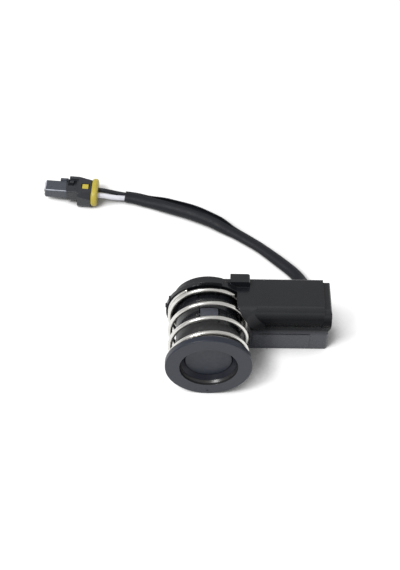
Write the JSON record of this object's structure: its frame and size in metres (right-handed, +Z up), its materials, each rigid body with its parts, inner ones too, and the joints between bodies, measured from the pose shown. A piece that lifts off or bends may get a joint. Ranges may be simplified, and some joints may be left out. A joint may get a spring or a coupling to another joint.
{
  "type": "parking sensor",
  "caption": "Ultrasonic bumper sensor: a flanged barrel with a steel retaining spring, an electronics box beside it and a short lead to a small plug.",
  "frame": {"origin": "on the barrel's axis, at the rear face of the bezel ring's flange, where the bumper skin seats", "axes": "+Y along the barrel away from the sensing face, +X from the barrel towards the electronics box, +Z up as the sensor lies on a table"},
  "size_m": [0.0866, 0.0805, 0.0257],
  "materials": {
    "ring_plastic": "fine satin",
    "spring_steel": "drawn wire, bright",
    "housing_plastic": "fine moulded texture",
    "potting_resin": "poured",
    "cup_paint": "satin paint",
    "piezo_ceramic": "fired and silvered",
    "soft_rubber": "smooth",
    "damping_foam": "open cell",
    "seal_silicone": "smooth",
    "copper": "enamelled wire",
    "board_laminate": "solder mask",
    "chip_resin": "moulded",
    "ferrite": "sintered",
    "can_aluminium": "drawn",
    "capacitor_body": "fired",
    "solder": "reflowed",
    "gland_rubber": "moulded",
    "sleeve_vinyl": "soft satin",
    "wire_black": "extruded",
    "wire_white": "extruded",
    "plug_black": "moulded satin",
    "plug_yellow": "moulded satin",
    "terminal_tin": "tin plated"
  },
  "bodies": {
    "root": {"bezel_ring": "ring_plastic", "retaining_spring": "spring_steel", "sensor_housing": "housing_plastic", "rear_cover": "housing_plastic", "potting_layer": "potting_resin", "transducer_cup": "cup_paint", "piezo_disc": "piezo_ceramic", "decoupling_ring": "soft_rubber", "damping_pad": "damping_foam", "back_seal": "seal_silicone", "transducer_leads": "copper", "circuit_board": "board_laminate", "driver_chip": "chip_resin", "transformer_core": "ferrite", "transformer_winding": "copper", "storage_capacitor": "can_aluminium", "chip_capacitors": "capacitor_body", "chip_resistors": "chip_resin", "solder_joints": "solder", "cable_grommet": "gland_rubber", "cable_sleeve": "sleeve_vinyl", "wire_black": "wire_black", "wire_white": "wire_white", "connector_body": "plug_black", "connector_retainer": "plug_yellow", "wire_seals": "seal_silicone", "connector_terminals": "terminal_tin"}
  },
  "joints": []
}
